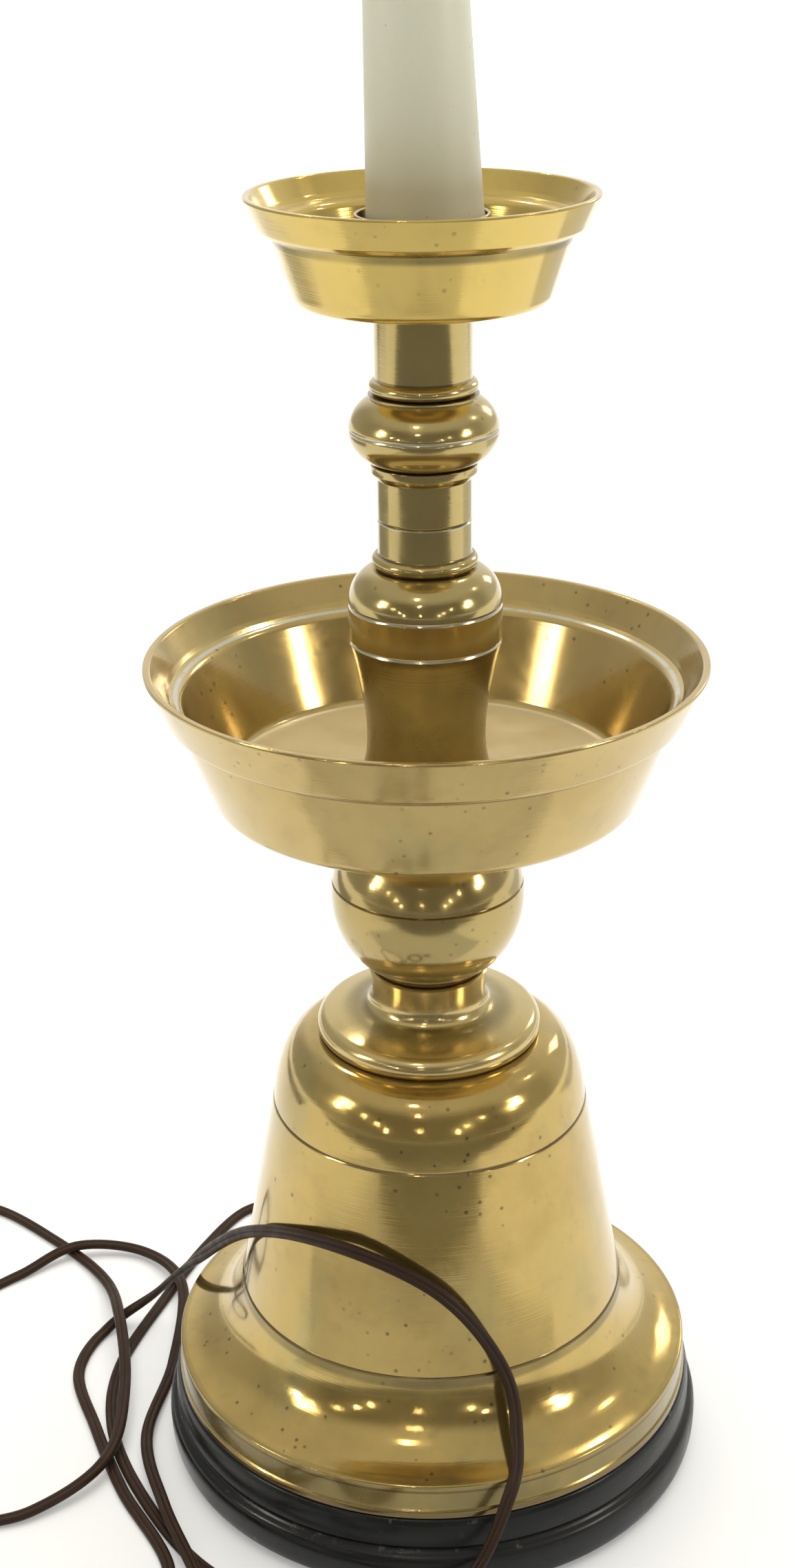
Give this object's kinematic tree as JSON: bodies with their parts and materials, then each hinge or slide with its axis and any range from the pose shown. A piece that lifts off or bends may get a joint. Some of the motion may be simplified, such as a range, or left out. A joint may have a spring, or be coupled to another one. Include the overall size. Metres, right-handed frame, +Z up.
{
  "type": "candlestick table lamp",
  "caption": "Electrified brass candlestick table lamp with turned stem, two drip pans, bell base, black wood plinth, candle sleeve with lamp socket and a flat cord with plug.",
  "frame": {"origin": "middle of the felt underside, on the surface that the lamp stands on", "axes": "+Z up along the stem, -Y the front that faces the viewer, +X the side of the switch knob"},
  "size_m": [0.3857, 0.3815, 0.7166],
  "materials": {
    "aged_brass": "semi-polished with tarnish",
    "bright_brass": "polished",
    "zinc_steel": "zinc plated",
    "black_wood": "black satin lacquer, chipped",
    "green_felt": "felt",
    "candle_white": "waxy satin",
    "cord_brown": "satin",
    "black_rubber": "matte",
    "black_phenolic": "moulded",
    "fibre_liner": "matte"
  },
  "bodies": {
    "lamp": {"bell_base": "aged_brass", "base_cap": "aged_brass", "lower_knop": "aged_brass", "large_drip_pan": "aged_brass", "vase_stem": "aged_brass", "upper_stem": "aged_brass", "top_drip_pan": "aged_brass", "candle_cup": "aged_brass", "sleeve_cap": "aged_brass", "socket_cap": "aged_brass", "socket_shell": "aged_brass", "screw_shell": "bright_brass", "centre_contact": "bright_brass", "plug_blade_left": "bright_brass", "plug_blade_right": "bright_brass", "base_washer": "zinc_steel", "lock_washer": "zinc_steel", "base_nut": "zinc_steel", "top_nut": "zinc_steel", "lamp_pipe": "zinc_steel", "candle_pipe": "zinc_steel", "pipe_coupling": "zinc_steel", "wood_plinth": "black_wood", "felt_pad": "green_felt", "candle_sleeve": "candle_white", "cord_run": "cord_brown", "cord_in_pipe": "cord_brown", "cord_tail": "cord_brown", "cord_coil": "cord_brown", "cord_bushing": "black_rubber", "coil_tie": "black_rubber", "switch_body": "black_phenolic", "plug_body": "black_phenolic", "socket_liner": "fibre_liner", "sleeve_spacer": "fibre_liner"},
    "knob": {"switch_knob": "black_phenolic", "knob_shaft": "bright_brass"}
  },
  "joints": [
    {"name": "switch_turn", "type": "hinge", "parent": "lamp", "child": "knob", "pos_m": [-0.00466, 0, 0.6905], "axis": [0.9994, 0, 0.0349], "continuous": true}
  ]
}
